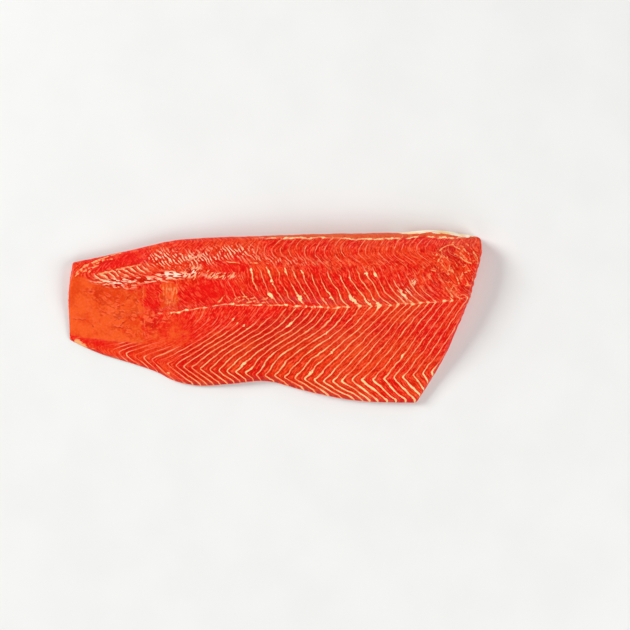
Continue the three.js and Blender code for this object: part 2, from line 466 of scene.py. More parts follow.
hatch = stroke_number(HATCH_PITCH, HATCH_TILT)
hatch_shown = between(HATCH_ENDS, x) * between(HATCH_DEPTH, curve(HATCH_TOP, x) - y)

# The membrane film that the knife left over the tail, from its torn lower edge up to the hatched loin.
FILM_EDGE = (
    (-163, -14.4), (-150, -16.8), (-136, -18.3), (-114, -20.7), (-86, -22.3), (-67, -20), (-55, -12),
)
FILM_EDGE_SOFTNESS = (-0.9, 0.9)
FILM_TOP = ((-163, 34), (-150, 29), (-138, 25), (-124, 22), (-100, 23), (-80, 25))
FILM_TOP_SOFTNESS = (3.5, -3.5)
FILM_END = (-88, -120)
FILM_PATCHES = ((-80, -10, 16, 9, 0, 0.45),)
FILM_GAP = (-101, -90, 4.5, 25.5)  # left, right, low and high side of a place scraped bare
STREAKED_FILM = (-89, -76, 6.8, 27)
STREAKED_FILM_STRENGTH = 0.95
BOX_SOFTNESS = (-1, 1)
BOX_WANDER = ((5, 3), (2.5, 2))  # how the sides of these two places wander: length and reach


def soft_box(sides, x, y):
    """One inside a rectangle and zero outside, with soft edges."""
    left, right, low, high = sides
    inside = np.minimum(np.minimum(x - left, right - x), np.minimum(y - low, high - y))
    return fade(*BOX_SOFTNESS, inside)


film = fade(*FILM_END, x) * fade(*FILM_EDGE_SOFTNESS, y - curve(FILM_EDGE, x))
film *= fade(*FILM_TOP_SOFTNESS, y - curve(FILM_TOP, x))
film += patches(FILM_PATCHES, x, y)
wander = sum(swells(*swell) for swell in BOX_WANDER)
scraped = soft_box(FILM_GAP, x + wander, y + wander)
streaked = soft_box(STREAKED_FILM, x + wander, y + wander)
film = np.maximum(film * (1 - scraped), STREAKED_FILM_STRENGTH * streaked) * (1 - side)

# Bloody red flesh where the film is gone, smooth flesh, ragged flesh, and wrinkles in the film.
RED_PATCHES = (
    (-96, 15, 8, 14, 0, 1.5), (-50, 19, 22, 11, 0, 1.2), (-34, 39, 9, 5, 0, 0.9), (-45, -1, 26, 9, 8, 1.4),
    (15, -2, 45, 8, 0, 1), (142, -14, 12, 20, 0, 0.8), (30, 24, 60, 12, 0, 0.9), (-105, 46, 22, 5, 12, 0.8),
    (-145, -20, 22, 2.5, -8, 1.2), (70, -32, 45, 22, 0, -0.6), (-25, -34, 45, 12, -8, -0.4),
)
SMOOTH_PATCHES = (
    (-48, 20, 17, 9, 0, 0.65), (-98, 12, 6, 12, 0, 0.6), (-112, 46, 24, 5, 12, 0.6), (-34, 39, 8, 4, 0, 0.7),
    (-80, -10, 24, 12, 0, 0.6), (-130, -24, 30, 5, -12, 0.5),
)
RAGGED_PATCHES = (
    (142, 44, 16, 15, 0, 1), (148, 24, 14, 10, 0, 0.9), (120, 30, 18, 9, 0, 0.5), (60, 40, 60, 5, 0, 0.5),
)
WRINKLED_PATCHES = (
    (-120, 4, 24, 13, 0, 1), (-140, 18, 12, 6, 0, 0.8), (-85, 12, 9, 14, 0, 0.8), (-110, -12, 20, 8, 0, 0.6),
    (-93, -4, 11, 7, 0, 0.9),
)
red = np.clip(patches(RED_PATCHES, x, y), -1, 1)
lively = 1 - np.clip(patches(SMOOTH_PATCHES, x, y), 0, 1)
ragged = np.clip(patches(RAGGED_PATCHES, x, y), 0, 1)
wrinkled = np.clip(patches(WRINKLED_PATCHES, x, y), 0, 1)

# Torn membrane on the loin: short pale flecks that lean one way or the other, or lie along the fillet.
# The lying ones are also a painted highlight: the glare of the wet loin, painted as bands of white flecks.
TORN_LEANING_BACK = (
    (-88, 46, 11, 6, 5, 1), (-60, 46, 18, 5.5, 6, 0.9), (-30, 51.5, 13, 4, 0, 0.9), (5, 44, 30, 3, -3, 0.4),
    (102, 19, 6, 4, -40, 0.9),
)
TORN_LEANING_ON = (
    (-62, 47, 12, 4, 6, 0.5), (-65, 35, 7, 3.4, 20, 1.4), (-42, 32, 14, 2.6, 0, 0.9),
    (109, 27, 3, 3, 0, 0.8),
)
TORN_AND_GLINT_LYING = ((-80, 33.2, 12, 2.4, -3, 1.5), (-106, 29, 26, 3, 0, 0.9), (-126, 25.5, 18, 3.5, -10, 0.8))
TORN_PITCH = 2.4
TORN_TILT = math.radians(50)
torn_back = patches(TORN_LEANING_BACK, x, y)
torn_on = patches(TORN_LEANING_ON, x, y)
torn_and_glint_flat = patches(TORN_AND_GLINT_LYING, x, y)
torn_hatch = stroke_number(TORN_PITCH, TORN_TILT)

# Single pale streaks, by the seam, along the back of the tail, on the loin and at the ragged head end.
STREAKS = (
    ((-46, 9), (-43, 12.5), (-39.8, 16)), ((-33.9, 10), (-30.7, 13.9), (-26.4, 15.9), (-21.3, 15.5)),
    ((-22.3, 10.8), (-16.4, 11.7), (-6.8, 13.9)), ((-13.5, 11.3), (-9.5, 13.7), (-5.6, 14.7)),
    ((-9.5, 10.8), (-3.6, 11.3)), ((-28.2, 11.7), (-24.2, 13.2)), ((-20.5, 13.8), (-15, 14.6)),
    ((-151.1, 39), (-139.9, 44.6), (-128.7, 45.7)), ((-152, 35), (-146, 38.5), (-140, 40)),
    ((-156.8, 34.5), (-149, 41.2), (-132, 48), (-121, 50.9)), ((-148.9, 36.2), (-145, 39.1)),
    ((-154, 37), (-150, 41)), ((-157.3, 32), (-152.5, 36.5)), ((-147.7, 33.9), (-143.2, 39)),
    ((-143, 41), (-136, 44.5)), ((-139.8, 33.4), (-127.5, 36.2), (-116.2, 39.1), (-106.2, 40.7)),
    ((-136.6, 26.6), (-127.5, 24.4), (-121, 22.7)), ((-69.7, 35.2), (-66.6, 36.8)),
    ((-65.8, 37.5), (-63.4, 39.9)), ((-61.9, 36), (-58.7, 39.1)), ((-54, 34.4), (-51.6, 36)),
    ((-51.6, 32), (-48.5, 34.4)), ((-47.7, 30.5), (-44.5, 32)), ((-43, 30.5), (-39.8, 32)),
    ((-35.1, 32), (-30.4, 34.4)), ((-64.2, 28.9), (-61.9, 31.2)), ((-39, 43.2), (-27.2, 41.8)),
    ((-18.6, 41.8), (-13.5, 42.3)), ((124.5, 45.6), (131, 53.4), (140.6, 58.2)),
    ((133.6, 51.7), (135.4, 46.2)), ((122.3, 36.4), (127.6, 35.6)), ((127.8, 39.9), (128.4, 37.7)),
    ((142.4, 49.1), (149.4, 43.4), (153.8, 41.6)), ((148.5, 53), (152, 49.5)),
    ((155.5, 51.2), (159, 46), (159.9, 41.6)), ((149.4, 34.6), (152.9, 36)),
    ((138, 37.3), (141.5, 32.9), (145, 25)), ((134.6, 22.4), (139.8, 15.5)), ((131, 48), (127, 42)),
    ((146, 62), (152, 56)), ((137, 58), (145, 53)),
)

# Cracks in the film.
FILM_CRACKS = (
    ((-141, 12.6), (-138.5, 10), (-134, 9)), ((-138.5, 13.5), (-138, 10)), ((-146, -6), (-144, -8)),
    ((-122.5, -6.8), (-117, -2.6)), ((-152, 20.5), (-147, 19.8), (-141, 20)), ((-160, -1.8), (-150, -3)),
    ((-104, 4), (-103.6, -16)), ((-131, -5.5), (-124, -1.8), (-115, 0)), ((-124, 8), (-119, 9.5)),
    ((-117, 14), (-114, 17)), ((-110, 20), (-111, 26)), ((-104.5, 24), (-105, 12), (-104, 4)),
    ((-111, 15), (-108, 11)), ((-101, -2), (-98, 1), (-92, 0)), ((-95, -8), (-91, -4)),
    ((-128, -8), (-121, -9)),
)
NEAR = 1.3  # how far from a streak or crack it still counts


def from_stroke(path, x, y):
    """Distance from a line drawn through a few points, below zero on its right."""
    nearest = np.full_like(x, np.inf)
    for start, end in zip(path, path[1:]):
        step = np.subtract(end, start)
        share = np.clip(((x - start[0]) * step[0] + (y - start[1]) * step[1]) / (step @ step), 0, 1)
        gap_x = x - start[0] - share * step[0]
        gap_y = y - start[1] - share * step[1]
        hand = np.where(step[0] * gap_y > step[1] * gap_x, 1, -1)
        distance = np.hypot(gap_x, gap_y)
        nearest = np.where(distance < abs(nearest), hand * distance, nearest)
    return nearest


def from_strokes(paths, x, y):
    """Distance from the nearest of several drawn lines, and how near it is, from 0 to 1."""
    distances = np.array([from_stroke(path, x, y) for path in paths])
    nearest = np.abs(distances).argmin(axis=0)
    distance = distances[nearest, np.arange(len(x))]
    return distance, bell(distance, NEAR)


streak, near_streak = from_strokes(STREAKS, x, y)
crack, near_crack = from_strokes(FILM_CRACKS, x, y)

# What the finish reads, stored as a number for each point of the mesh.
STEEP_FACE = (0.9, 0.5)  # upward shares of the normal
SHADOW_LOST = 0.55  # how much less the sheets are shaded towards the head
SHADOW_LOST_FROM = (20, 70)


def keep(name, values):
    made = fillet.data.attributes.new(name, "FLOAT", "POINT")
    made.data.foreach_set("value", np.asarray(values, np.float32))


for name, values in {
    "sheets": sheets, "pitch": pitch, "shown": shown, "half_line": half_line, "swelling": swelling,
    "sheet_shadow": 1 - SHADOW_LOST * fade(*SHADOW_LOST_FROM, x), "steepness": fade(*STEEP_FACE, upright),
    "seam": seam, "seam_shown": seam_shown, "fascia": fascia, "fascia_shown": fascia_shown,
    "side_strip": side_strip, "rim_fat": rim_fat, "flap_scrap": flap_scrap,
    "hatch": hatch, "hatch_shown": hatch_shown, "film": film, "streaked": streaked,
    "red": red, "lively": lively, "ragged": ragged, "wrinkled": wrinkled,
    "torn_back": torn_back, "torn_on": torn_on, "torn_and_glint_flat": torn_and_glint_flat, "torn_hatch": torn_hatch,
    "streak": streak, "near_streak": near_streak, "crack": crack, "near_crack": near_crack,
}.items():
    keep(name, values)

# The relief of the cut face: each muscle block stands a little proud of the next one towards the head, and
# the whole face is soft and uneven, and ragged at the head end.
BLOCK_STEP = 0.14
BLOCK_SLANT = 0.5  # how much steeper one side of each step is than the other
BLOCK_PITCH = (2.2, 4.5)  # sheets that lie closer than this make no step
FILM_STEP = 0.35
CRACK_DEPTH = 0.2
SEAM_RIDGE = 0.25
SEAM_RIDGE_REACH = 0.9
UNEVENNESS = ((26, 0.45), (9, 0.25), (3.2, 0.12))  # length of the swells and their height
HEAD_RAGGEDNESS = (5, 0.4)
HEAD_RAGGED_FROM = (146, 158)
HEAD_NOTCHES = (4.5, 1.1)
HEAD_NOTCHED_FROM = (140, 152)
BASE_KEPT = (0.5, 4)  # heights between which the relief comes in above the flat base

turn = 2 * math.pi * sheets
block = -(np.sin(turn) + BLOCK_SLANT * np.sin(2 * turn)) * fade(*BLOCK_PITCH, pitch) * shown
relief = BLOCK_STEP * block
relief += FILM_STEP * np.clip(film, 0, 1) - CRACK_DEPTH * near_crack
relief += SEAM_RIDGE * bell(seam, SEAM_RIDGE_REACH) * seam_shown
relief += sum(swells(*swell) for swell in UNEVENNESS)
relief += fade(*HEAD_RAGGED_FROM, x) * swells(*HEAD_RAGGEDNESS)
relief += side * fade(*HEAD_NOTCHED_FROM, x) * swells(*HEAD_NOTCHES)
points += normals * (relief * fade(*BASE_KEPT, z))[:, None]
fillet.data.vertices.foreach_set("co", (points * MM).ravel())
fillet.data.update()

# The finish of the flesh
# Raw salmon is wet, faintly see-through muscle, red to orange with its pigment, with pale lines of fat along
# the sheets, a thin orange membrane over the tail and silvery skin below. The finish is laid on in thin
# layers of colour, one over the other, with a fine relief where fibres and lines stand out.
NOISE_RANGE = (0.27, 0.73)  # what a noise node gives, but for a few rare places
CELL_WAVE = (1.2, 1.2, 1.2)  # how far the edges of cells wander, as a share of their size
CELL_WAVE_SCALE = 1.6
CELL_WAVE_DETAIL = 3.0


class Shade:
    """A value or colour in a material's nodes, so that shader maths is written as plain expressions."""

    def __init__(self, tree, socket=None):
        self.tree = tree
        self.socket = socket

    def node(self, kind, settings=None, sockets=None, output=0):
        """Adds a node: its settings first, then the values or links of its sockets."""
        made = self.tree.nodes.new(kind)
        for name, value in (settings or {}).items():
            setattr(made, name, value)
        for name, value in (sockets or {}).items():
            if isinstance(value, Shade):
                self.tree.links.new(value.socket, made.inputs[name])
            else:
                made.inputs[name].default_value = value
        return Shade(self.tree, made.outputs[output] if made.outputs else None)

    def math(self, operation, first, second=0.0):
        return self.node("ShaderNodeMath", {"operation": operation}, {0: first, 1: second})

    def __add__(self, other):
        return self.math("ADD", self, other)

    def __sub__(self, other):
        return self.math("SUBTRACT", self, other)

    def __rsub__(self, other):
        return self.math("SUBTRACT", other, self)

    def __mul__(self, other):
        return self.math("MULTIPLY", self, other)

    __radd__ = __add__
    __rmul__ = __mul__

    def fraction(self):
        return self.math("FRACT", self)

    def floor(self):
        return self.math("FLOOR", self)

    def size(self):
        return self.math("ABSOLUTE", self)

    def least(self, other):
        return self.math("MINIMUM", self, other)

    def most(self, other):
        return self.math("MAXIMUM", self, other)

    def about_zero(self, reach):
        """A value from 0 to 1, moved to lie as far below zero as above it, over this reach in all."""
        return (self - 0.5) * reach

    def fade(self, start, end):
        """Rises smoothly from 0 at start to 1 at end; start may be the higher of the two."""
        sockets = {"Value": self, "From Min": start, "From Max": end}
        return self.node("ShaderNodeMapRange", {"interpolation_type": "SMOOTHSTEP"}, sockets)

    def between(self, ends):
        """One between two soft ends, and zero beyond them."""
        rising, falling = ends
        return self.fade(*rising) * self.fade(*falling)

    def mix(self, colour_off, colour_on):
        """Goes from one colour to another as this value goes from 0 to 1."""
        return self.node("ShaderNodeMix", {"data_type": "RGBA"}, {0: self, 6: colour_off, 7: colour_on}, 2)

    def attribute(self, name):
        return self.node("ShaderNodeAttribute", {"attribute_name": name}, output=2)

    def place(self):
        return self.node("ShaderNodeTexCoord", output=3)

    def spread(self, length, stretch, tilt):
        """Places measured in this length in mm, drawn out along a tilted line."""
        size = length * MM
        turn = (0, 0, math.radians(tilt))
        sockets = {"Vector": self.place(), "Rotation": turn, "Scale": (size * stretch, size, size)}
        return self.node("ShaderNodeMapping", {"vector_type": "TEXTURE"}, sockets)

    def grain(self, length, stretch=1.0, tilt=0.0, detail=2.0):
        """Noise from 0 to 1 with features of about this length in mm, drawn out along a tilted line."""
        where = self.spread(length, stretch, tilt)
        made = self.node("ShaderNodeTexNoise", None, {"Vector": where, "Scale": 1.0, "Detail": detail})
        return made.fade(*NOISE_RANGE)

    def waver(self, length, reach, detail=2.0):
        """Noise about zero with features of about this length in mm, over this reach in all."""
        return self.grain(length, detail=detail).about_zero(reach)

    def cells(self, length, stretch, tilt):
        """A net of uneven cells of about this length in mm: how far from an edge, and a tone for each."""
        where = self.spread(length, stretch, tilt)
        rough = {"Vector": where, "Scale": CELL_WAVE_SCALE, "Detail": CELL_WAVE_DETAIL}
        wave = self.node("ShaderNodeTexNoise", None, rough, 1)
        added = {0: wave, 1: CELL_WAVE, 2: where}
        bent = self.node("ShaderNodeVectorMath", {"operation": "MULTIPLY_ADD"}, added)
        sockets = {"Vector": bent, "Scale": 1.0}
        edge = self.node("ShaderNodeTexVoronoi", {"feature": "DISTANCE_TO_EDGE"}, sockets)
        tone = self.node("ShaderNodeTexVoronoi", {"feature": "F1"}, sockets, 1)
        return edge, tone


def paint(red, green, blue):
    """A colour as a screen shows it, from 0 to 255, turned into the light that it stands for."""
    def linear(level):  # the standard curve of screens
        share = level / 255
        return share / 12.92 if share <= 0.04045 else ((share + 0.055) / 1.055) ** 2.4

    return (linear(red), linear(green), linear(blue), 1)


DEEP_RED = paint(200, 14, 4)
FLESH_RED = paint(232, 24, 16)
FLESH_ORANGE = paint(236, 62, 22)
FILM_BROWN = paint(226, 64, 18)
FILM_ORANGE = paint(231, 79, 27)
FILM_LIGHT = paint(242, 95, 38)
SHADOW_RED = paint(186, 18, 0)
# The pale of strands and other pale flesh, and of the painted highlight on the wrinkles' crests
STRAND_AND_HIGHLIGHT_PALE = paint(255, 112, 72)
LINE_EDGE = paint(244, 84, 44)
LINE_PINK = paint(255, 144, 108)
LINE_ORANGE = paint(255, 172, 112)
FAT_PALE = paint(255, 216, 156)
FAT_CREAM = paint(255, 238, 214)
TORN_PALE = paint(255, 188, 146)
# The white of the painted highlights on the torn flecks
TORN_GLINT_WHITE = paint(255, 228, 204)
STRIP_ORANGE = paint(228, 92, 44)
RIND_BROWN = paint(214, 128, 92)
SKIN_SILVER = paint(168, 170, 168)
SKIN_DARK = paint(58, 66, 70)

# The grain of the flesh. Lengths are in mm.
FINE_GRAIN = 1.8
FINE_DETAIL = 3
BLOTCHES = 22
MUSCLE_STRANDS = (6.5, 5)  # rows to a muscle block, and length
LINE_UNEVENNESS = (5.3, 8)
LONG_WAVER = (12, 0.2)  # length, and reach in sheets
SHORT_WAVER = (4, 0.06)
FINE_WAVER = 0.04

salmon = bpy.data.materials.new("raw_salmon")
salmon.use_nodes = True
salmon.node_tree.nodes.clear()
meat = Shade(salmon.node_tree)

height_mm = meat.node("ShaderNodeSeparateXYZ", None, {0: meat.place()}, 2) * (1 / MM)
across_mm = meat.node("ShaderNodeSeparateXYZ", None, {0: meat.place()}, 1) * (1 / MM)


def strands(number, rows, length):
    """Noise drawn out along the sheets, in so many rows to a muscle block."""
    where = meat.node("ShaderNodeCombineXYZ", None, {0: number * rows, 1: across_mm * (1 / length)})
    sockets = {"Vector": where, "Scale": 1.0, "Detail": 2.0}
    return meat.node("ShaderNodeTexNoise", {"noise_dimensions": "2D"}, sockets).fade(*NOISE_RANGE)


fine = meat.grain(FINE_GRAIN, detail=FINE_DETAIL)
blotch = meat.grain(BLOTCHES)
number = meat.attribute("sheets") + meat.waver(*LONG_WAVER) + meat.waver(*SHORT_WAVER)
number = number + fine.about_zero(FINE_WAVER)
nearest_line = number + 0.5
strand = strands(number, *MUSCLE_STRANDS)
uneven = strands(nearest_line.floor(), *LINE_UNEVENNESS)

# The film over the tail, with torn edges.
FILM_TEARS = (7, 0.8, 4)  # length, reach and detail
FILM_COVER = (0.1, 0.9)
film_cover = (meat.attribute("film") + meat.waver(*FILM_TEARS)).fade(*FILM_COVER)
bare = 1 - film_cover
mottled = meat.attribute("lively") * bare

# The pale lines, each with a thickness of its own that changes along its length, and a shadow on both sides.
THINNEST_LINE = 0.55  # as a share of the half thickness
LINE_VARIATION = 0.8
BEAD_GRAIN = 2
BEAD_DETAIL = 3
BEAD_GAIN = 2.2
BEAD_LOSS = 0.3
LINE_GAIN = 2.4
LINE_LOSS = 1.4  # where a line is at its most uneven
LINE_SOFTNESS = (-0.28, 0.14)
HIDDEN_BY_FILM = 0.85
SHADOW_PAST = ((0.5, 1.2), (2.8, 1.5))  # where it begins and ends, in mm from the line
SHADOW_BEFORE = ((0.5, 1.1), (2.2, 1.3))
SHADOW_BEFORE_SHARE = 0.7
SHADOW_CLEAR = (0.35, 0.9)
SHADOW_LEAST = 0.35

clear = meat.attribute("shown")
pitch_mm = meat.attribute("pitch")
from_line = (nearest_line.fraction() - 0.5).size() * pitch_mm
past_line = number.fraction() * pitch_mm
before_line = pitch_mm - past_line
bead_body = meat.grain(BEAD_GRAIN, detail=BEAD_DETAIL) * BEAD_GAIN - BEAD_LOSS
swelling_mm = meat.attribute("swelling") * bead_body
half_mm = meat.attribute("half_line") * (THINNEST_LINE + LINE_VARIATION * uneven) + swelling_mm
line_strength = (clear * LINE_GAIN - (1 - uneven) * LINE_LOSS).most(0).least(1)
line_body = (half_mm - from_line).fade(*LINE_SOFTNESS)
line = line_body * line_strength * (1 - HIDDEN_BY_FILM * film_cover)
shadow = past_line.between(SHADOW_PAST).most(before_line.between(SHADOW_BEFORE) * SHADOW_BEFORE_SHARE)
shadow = shadow * line_strength * clear.fade(*SHADOW_CLEAR) * bare
shadow = shadow * (SHADOW_LEAST + strand).least(1) * meat.attribute("sheet_shadow")

# The seam, the fascia and the single streaks. A line is gone and full at two distances from its middle.
SEAM_WAVER = (7, 1.4)
SEAM_LINE = (0.75, 0.15)
SEAM_DASHES = 5
SEAM_LEAST = 0.3
SEAM_STRENGTH = 0.8
SEAM_BEAD = (1.3, 0.4)
SEAM_BEAD_LENGTH = (1.9, 0.8)
SEAM_BEAD_GRAIN = 4
SEAM_BEADS_KEPT = (0.2, 0.5)
FASCIA_LONG_WAVER = (8, 1.2)
FASCIA_SHORT_WAVER = (2.5, 0.9)
FASCIA_LINE = (0.9, 0.1)
FASCIA_DASHES = 5
FASCIA_KEPT = (0, 0.5)
STREAK_WAVER = (4, 0.9)
STREAK_LINE = (0.9, 0.25)
STREAK_GRAIN = 3
STREAK_GAIN = 1.6
STREAK_SHADOW = (0.7, 1.0)
STREAK_SHADOW_NEAR = (0.1, 0.4)

seam_mm = meat.attribute("seam") + meat.waver(*SEAM_WAVER)
seam_line = seam_mm.size().fade(*SEAM_LINE) * (SEAM_LEAST + meat.grain(SEAM_DASHES)).least(1)
seam_bead = seam_mm.size().fade(*SEAM_BEAD) * from_line.fade(*SEAM_BEAD_LENGTH)
seam_bead = seam_bead * meat.grain(SEAM_BEAD_GRAIN).fade(*SEAM_BEADS_KEPT)
seam_pale = (seam_line * SEAM_STRENGTH).most(seam_bead) * meat.attribute("seam_shown")
fascia_mm = meat.attribute("fascia") + meat.waver(*FASCIA_LONG_WAVER) + meat.waver(*FASCIA_SHORT_WAVER)
fascia_pale = fascia_mm.size().fade(*FASCIA_LINE) * meat.grain(FASCIA_DASHES).fade(*FASCIA_KEPT)
fascia_pale = fascia_pale * meat.attribute("fascia_shown")
streak_mm = meat.attribute("streak") + meat.waver(*STREAK_WAVER)
by_streak = meat.attribute("near_streak")
streak_kept = (meat.grain(STREAK_GRAIN) * STREAK_GAIN).least(1)
streak_pale = streak_mm.size().fade(*STREAK_LINE) * by_streak * streak_kept
streak_dark = streak_mm.size().fade(*STREAK_SHADOW) * by_streak.fade(*STREAK_SHADOW_NEAR)

# The slanting strokes on the tail, pale with a shadow beside each.
HATCH_SHIFT = 0.1
HATCH_WAVER = (7, 0.5)
HATCH_LINE = (0.75, 0.2)
HATCH_GRAIN = 4
HATCH_KEPT = (0.1, 0.6)
HATCH_SHADOW_AT = 1.1
HATCH_SHADOW = (0.9, 0.2)

hatched = meat.attribute("hatch_shown")
hatch_number = meat.attribute("hatch") - HATCH_SHIFT + meat.waver(*HATCH_WAVER)
from_hatch = hatch_number.fraction().about_zero(HATCH_PITCH)
hatch_pale = from_hatch.size().fade(*HATCH_LINE) * hatched * meat.grain(HATCH_GRAIN).fade(*HATCH_KEPT)
hatch_dark = (from_hatch - HATCH_SHADOW_AT).size().fade(*HATCH_SHADOW) * hatched

# The torn membrane in short flecks, pale on one side and with painted shade on the other.
TORN_WAVER = (8, 0.9)
TORN_LINE = (0.6, 0.28)
TORN_GAP = (0.5, 0.9)
TORN_GAIN = 1.7
TORN_GAP_STRENGTH = 0.9
TORN_REGION = (0.1, 0.7)
FLECK_LENGTH = 3.2
FLECKS_KEPT = (0.38, 0.5)
FLECKS_ON = (1.3, 3.2, 50, 1)  # width, stretch, tilt and detail
FLECKS_ON_PALE = (0.56, 0.64)
FLECKS_ON_DARK = (0.42, 0.25)
FLECKS_FLAT = (1.3, 4, -5, 1)
FLECKS_FLAT_PALE = (0.45, 0.65)
FLECKS_FLAT_DARK = (0.45, 0.25)
FLECKS_FLAT_THINNED = 0.25  # how many fewer there are at the edges of their region

leaning_back = meat.attribute("torn_back")
leaning_on = meat.attribute("torn_on")
lying = meat.attribute("torn_and_glint_flat")
from_torn = (meat.attribute("torn_hatch") + meat.waver(*TORN_WAVER)).fraction().about_zero(TORN_PITCH)
flecks_kept = meat.grain(FLECK_LENGTH, detail=1).fade(*FLECKS_KEPT)
flecks_on = meat.grain(*FLECKS_ON)
flecks_flat = meat.grain(*FLECKS_FLAT)
flecks_lying = flecks_flat + lying * FLECKS_FLAT_THINNED - FLECKS_FLAT_THINNED
# Pale torn flecks, which are partly painted highlights where their colour turns white
torn_pale_and_glint = (from_torn.size().fade(*TORN_LINE) * flecks_kept * leaning_back * TORN_GAIN).least(1)
torn_pale_and_glint = torn_pale_and_glint.most(flecks_on.fade(*FLECKS_ON_PALE) * leaning_on.fade(*TORN_REGION))
torn_pale_and_glint = torn_pale_and_glint.most(flecks_lying.fade(*FLECKS_FLAT_PALE) * lying.fade(*TORN_REGION))
torn_dark = from_torn.size().fade(*TORN_GAP) * leaning_back * TORN_GAP_STRENGTH
torn_dark = torn_dark.most(flecks_on.fade(*FLECKS_ON_DARK) * leaning_on)
torn_dark = torn_dark.most(flecks_flat.fade(*FLECKS_FLAT_DARK) * lying).least(1)

# Ragged flesh where the sheets part: a net of pale fibres round flakes of different tones.
FLAKES = (4.5, 2.2, -48)  # length, stretch and tilt
FIBRE = (0.08, 0.02)
FIBRE_GRAIN = 5
FIBRES_KEPT = (0.42, 0.66)

flaky = meat.attribute("ragged")
flake_edge, flake_tone = meat.cells(*FLAKES)
fibre = flake_edge.fade(*FIBRE) * meat.grain(FIBRE_GRAIN).fade(*FIBRES_KEPT) * flaky

# Cracks and wrinkles in the film: painted shade in the cracks and in the folds, and a painted highlight on
# the crest beside each fold.
CRACK_WAVER = (2.5, 1.2)
CRACK_LINE = (0.8, 0.1)
CRACK_GRAIN = 3
CRACK_GAIN = 1.6
CRACK_LOSS = 0.3
CRACK_LIP_AT = 1
CRACK_LIP = (0.7, 0.1)
CRACK_LIP_NEAR = (0.2, 0.6)
WRINKLES = (5.5, 1.8, -25)
WRINKLE_GRAIN = 6
WRINKLES_KEPT = (0.35, 0.65)
WRINKLE_FOLD = (0.14, 0.02)
WRINKLE_CREST = ((0.1, 0.18), (0.36, 0.22))

crack_mm = meat.attribute("crack") + meat.waver(*CRACK_WAVER)
by_crack = meat.attribute("near_crack")
crack_open = (meat.grain(CRACK_GRAIN) * CRACK_GAIN - CRACK_LOSS).least(1).most(0)
crack_dark = crack_mm.size().fade(*CRACK_LINE) * by_crack * crack_open
crack_lip = (crack_mm - CRACK_LIP_AT).size().fade(*CRACK_LIP)
crack_lip = crack_lip * by_crack.fade(*CRACK_LIP_NEAR) * meat.grain(CRACK_GRAIN)
wrinkle_edge, wrinkle_tone = meat.cells(*WRINKLES)
wrinkle_region = meat.attribute("wrinkled")
wrinkle_kept = meat.grain(WRINKLE_GRAIN).fade(*WRINKLES_KEPT) * wrinkle_region
wrinkle_dark = wrinkle_edge.fade(*WRINKLE_FOLD) * wrinkle_kept
# A painted highlight along the crest beside each fold
wrinkle_crest_highlight = wrinkle_edge.between(WRINKLE_CREST) * wrinkle_kept

# The colours of bare flesh: redder and paler blotches, dark and pale strands, and the strip along the back.
STRAND_SHARE = 0.75
BLOTCH_SHARE = 0.9
FINE_SHARE = 0.25
RED_SHARE = 0.6
FLAKE_SHARE = 0.9
ORANGE_RANGE = (0.05, 0.9)
DARK_FLAKES = (0.5, 0.25)
DARK_STRANDS = (0.42, 0.2)
PALE_STRANDS = (0.58, 0.85)
STRIP_LEAST = 0.35

mottle = strand * STRAND_SHARE + fine * (1 - STRAND_SHARE)
orange = blotch * BLOTCH_SHARE + fine.about_zero(FINE_SHARE) - meat.attribute("red") * RED_SHARE
orange = orange + flake_tone.about_zero(FLAKE_SHARE) * flaky
flesh = orange.fade(*ORANGE_RANGE).mix(FLESH_RED, FLESH_ORANGE)
dark_flesh = (flake_tone.fade(*DARK_FLAKES) * flaky + mottle.fade(*DARK_STRANDS)) * mottled
pale_flesh = mottle.fade(*PALE_STRANDS) * mottled
strip = meat.attribute("side_strip") * (STRIP_LEAST + mottle).least(1)

# The colours of the film, and its streaked end.
FILM_GRAIN = 14
FILM_DETAIL = 4
FILM_GRAIN_SHARE = 0.7
FILM_TONES = (0.2, 0.8)
WRINKLE_TONES = 0.35
BROWN_FILM = (-0.4, 0.3)
FILM_STREAKS = (1.8, 4, 84, 2)  # width, stretch, tilt and detail
FILM_STREAKS_DARK = (0.45, 0.25)
FILM_STREAKS_PALE = (0.6, 0.8)
FILM_STREAK_GRAIN = 5

film_tone = meat.grain(FILM_GRAIN, detail=FILM_DETAIL) * FILM_GRAIN_SHARE + fine * (1 - FILM_GRAIN_SHARE)
film_tone = film_tone.fade(*FILM_TONES) - (1 - wrinkle_tone) * wrinkle_region * WRINKLE_TONES
film_colour = film_tone.fade(*BROWN_FILM).mix(FILM_BROWN, film_tone.fade(0, 1).mix(FILM_ORANGE, FILM_LIGHT))
film_streaks = meat.grain(*FILM_STREAKS)
streaky = meat.attribute("streaked")
film_streaks_dark = film_streaks.fade(*FILM_STREAKS_DARK) * streaky
film_streaks_pale = film_streaks.fade(*FILM_STREAKS_PALE) * streaky * meat.grain(FILM_STREAK_GRAIN)

# The colours of the lines. Each pales from its edge to its middle, and thick clear lines are the palest.
PALE_MIDDLE = (0.3, 0.9)
CLEAR_LINE = (0.5, 0.92)
THICK_LINE = 1.4
WHITE_LYING = (0.5, 1.3)
WHITE_LEANING_ON = (0.9, 1.4)
WHITE_GRAIN = (0.6, 0.85)
WHITE_LEANING_BACK = 0.6

fat = clear.fade(*CLEAR_LINE).mix(LINE_PINK, (half_mm * THICK_LINE).least(1).mix(LINE_ORANGE, FAT_PALE))
line_colour = line_body.fade(*PALE_MIDDLE).mix(LINE_EDGE, fat)
streak_colour = streak_pale.fade(*PALE_MIDDLE).mix(LINE_EDGE, LINE_ORANGE)
seam_colour = seam_pale.fade(*PALE_MIDDLE).mix(LINE_EDGE, FAT_PALE)
hatch_colour = fine.mix(TORN_PALE, FAT_PALE)
# Painted highlights: the torn flecks turn white where they lie flat, and here and there where they lean.
torn_glint = lying.fade(*WHITE_LYING).most(fine.fade(*WHITE_GRAIN) * leaning_back * WHITE_LEANING_BACK)
torn_and_glint_colour = torn_glint.most(leaning_on.fade(*WHITE_LEANING_ON)).mix(TORN_PALE, TORN_GLINT_WHITE)

